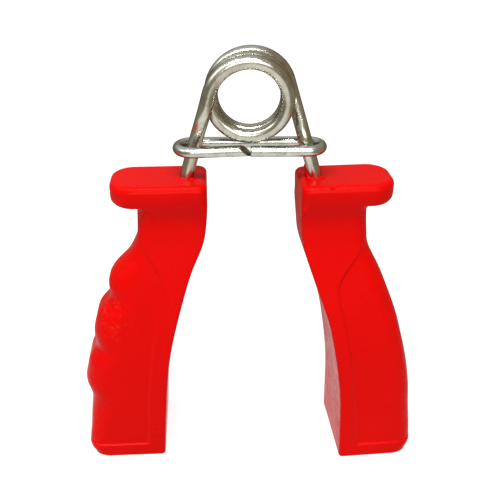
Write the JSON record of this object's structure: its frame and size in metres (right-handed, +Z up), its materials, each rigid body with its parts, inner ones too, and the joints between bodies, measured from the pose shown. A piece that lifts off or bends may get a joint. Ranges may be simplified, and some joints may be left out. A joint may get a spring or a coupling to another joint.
{
  "type": "hand grip strengthener",
  "caption": "Hand grip strengthener: glossy plastic finger and palm handles on a steel torsion spring, with a wire retaining clip under the coil.",
  "frame": {"origin": "centre of the bounding box's base, on the surface the two handle bottoms stand on", "axes": "+Z up towards the coil, +X from the finger handle to the palm handle, +Y towards the back"},
  "size_m": [0.1076, 0.0319, 0.1323],
  "materials": {
    "red_plastic": "moulded glossy red plastic",
    "spring_steel": "bright zinc-plated spring wire",
    "clip_steel": "bright zinc-plated wire"
  },
  "bodies": {
    "spring": {"spring_coil": "spring_steel", "retaining_clip": "clip_steel"},
    "left_arm": {"left_handle": "red_plastic", "left_leg": "spring_steel"},
    "right_arm": {"right_handle": "red_plastic", "right_leg": "spring_steel"}
  },
  "joints": [
    {"name": "left_squeeze", "type": "hinge", "parent": "spring", "child": "left_arm", "pos_m": [0, 0, 0.119], "axis": [0, -1, 0], "range_deg": [0, 8.5], "stiffness_Nm_per_rad": 27, "springref_deg": -2.86, "deforming": ["spring_coil"]},
    {"name": "right_squeeze", "type": "hinge", "parent": "spring", "child": "right_arm", "pos_m": [0, 0, 0.119], "axis": [0, 1, 0], "range_deg": [0, 8.5], "stiffness_Nm_per_rad": 27, "springref_deg": -2.86}
  ],
  "couplings": [
    {"joint": "right_squeeze", "follows": "left_squeeze", "ratio": 1}
  ]
}
